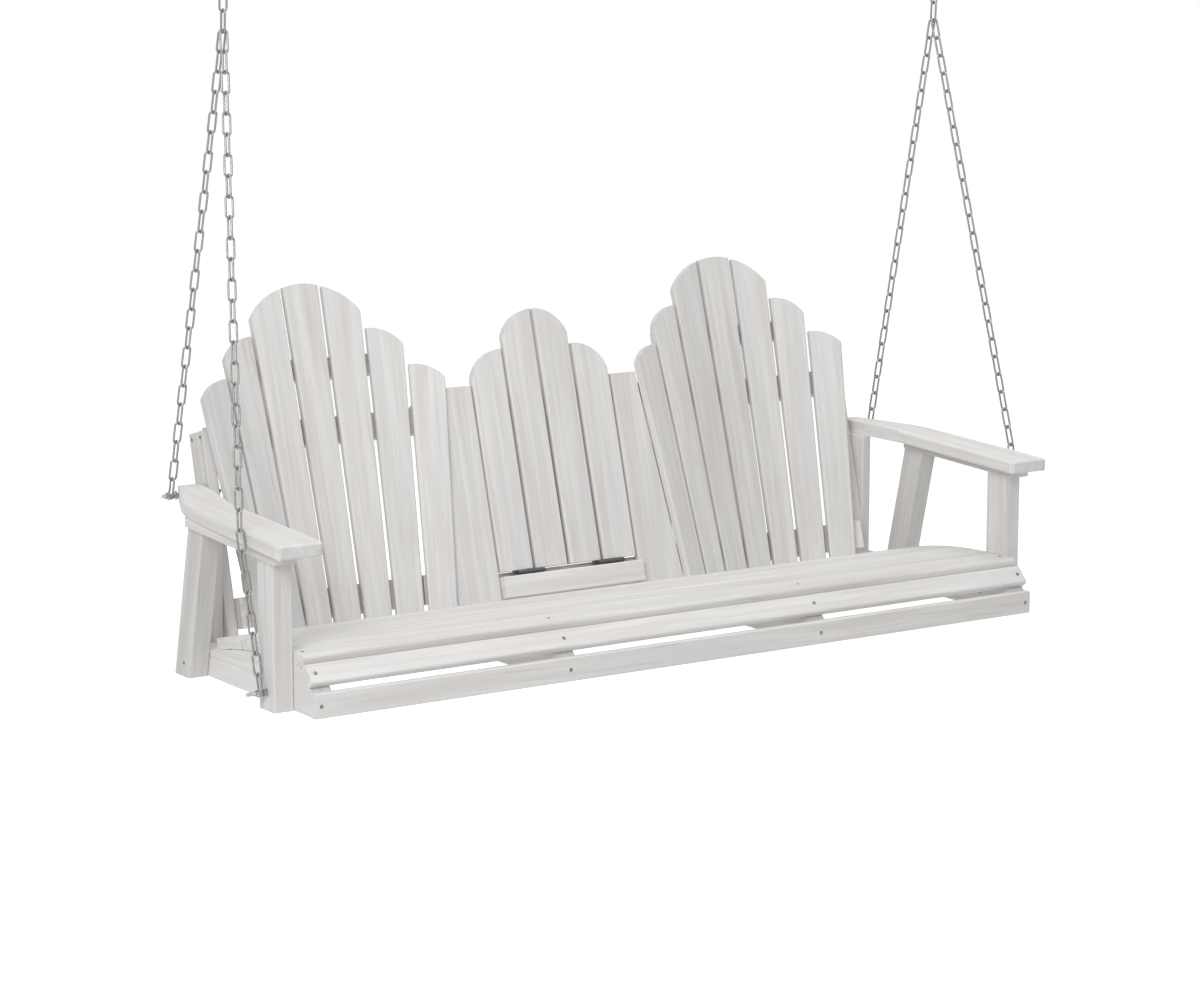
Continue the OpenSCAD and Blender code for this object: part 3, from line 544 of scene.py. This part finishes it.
add_piece("deck_screws", place(head_points), head_faces, screw_steel, "seat")

# ---------------------------------------------------------------- floor, light and camera


DAYLIGHT = 0.45  # how bright the surroundings are for the light that falls on the seat
FLOOR_GREY = 0.86
FLOOR_DROP = 0.55  # the floor's depth below the seat
FLOOR_RADIUS = 14
FLOOR_POINTS = 96


def looking_rays(tree):
    """1 for camera, glossy and transmission rays, 0 for the rays that carry light."""
    rays = put(tree, "ShaderNodeLightPath").outputs
    seen = sums(tree, "ADD", rays["Is Camera Ray"], rays["Is Glossy Ray"])
    return sums(tree, "ADD", seen, rays["Is Transmission Ray"], clamp=True)


def lit_white(tree, surface, share):
    """A surface that looking rays see partly as plain white light."""
    strength = sums(tree, "MULTIPLY", looking_rays(tree), share)
    glow = put(tree, "ShaderNodeEmission", {"Color": (1, 1, 1, 1), "Strength": strength})
    return put(tree, "ShaderNodeAddShader", {0: surface, 1: glow.outputs[0]}).outputs[0]


def make_floor():
    """A pale disc under the seat, its ring of points a circle."""
    a = np.linspace(0, 2 * np.pi, FLOOR_POINTS, endpoint=False)
    z = cad_box[0][2] - FLOOR_DROP
    points = np.stack([FLOOR_RADIUS * np.cos(a), FLOOR_RADIUS * np.sin(a), np.full(FLOOR_POINTS, z)], 1)
    mesh = bpy.data.meshes.new("floor")
    mesh.from_pydata(points.tolist(), [], [list(range(FLOOR_POINTS))])
    floor = bpy.data.objects.new("floor", mesh)
    bpy.context.scene.collection.objects.link(floor)
    material = bpy.data.materials.new("pale_floor")
    material.use_nodes = True
    tree = material.node_tree
    tree.nodes.clear()
    paint = put(tree, "ShaderNodeBsdfDiffuse", {"Color": (FLOOR_GREY, FLOOR_GREY, FLOOR_GREY, 1)}).outputs[0]
    put(tree, "ShaderNodeOutputMaterial", {"Surface": lit_white(tree, paint, 1.0 - FLOOR_GREY * DAYLIGHT)})
    mesh.materials.append(material)


make_floor()


def soft_lamp(name, at, aim, size, power):
    """A large square area lamp at a point, turned to its aim."""
    lamp = bpy.data.lights.new(name, "AREA")
    lamp.size = size
    lamp.energy = power
    holder = bpy.data.objects.new(name, lamp)
    holder.location = at
    holder.rotation_euler = (Vector(aim) - Vector(at)).to_track_quat("-Z", "Y").to_euler()
    bpy.context.scene.collection.objects.link(holder)


soft_lamp("key_lamp", (-4.6, -3.3, 2.3), (0, 0, -1.1), 3.0, 205)
soft_lamp("top_lamp", (0.6, -0.4, 3.2), (0, 0, -1.2), 3.5, 95)

world = bpy.data.worlds.new("studio")
bpy.context.scene.world = world
world.use_nodes = True
sky = world.node_tree
sky.nodes.clear()
level = sums(sky, "MULTIPLY_ADD", looking_rays(sky), 1.0 - DAYLIGHT, DAYLIGHT)
backdrop = put(sky, "ShaderNodeBackground", {"Color": (1, 1, 1, 1), "Strength": level})
put(sky, "ShaderNodeOutputWorld", {"Surface": backdrop.outputs[0]})

lens = bpy.data.cameras.new("camera")
lens.lens = 95.772
lens.sensor_width = 36
camera = bpy.data.objects.new("camera", lens)
camera.matrix_world = (
    HUNG
    @ Matrix.Translation((-3.8031, -5.2996, 1.4653))
    @ Matrix.Rotation(math.radians(-33.8387), 4, "Z")
    @ Matrix.Rotation(math.radians(90 - 9.7537), 4, "X")
)
bpy.context.scene.collection.objects.link(camera)
bpy.context.scene.camera = camera
bpy.context.scene.view_settings.view_transform = "Standard"
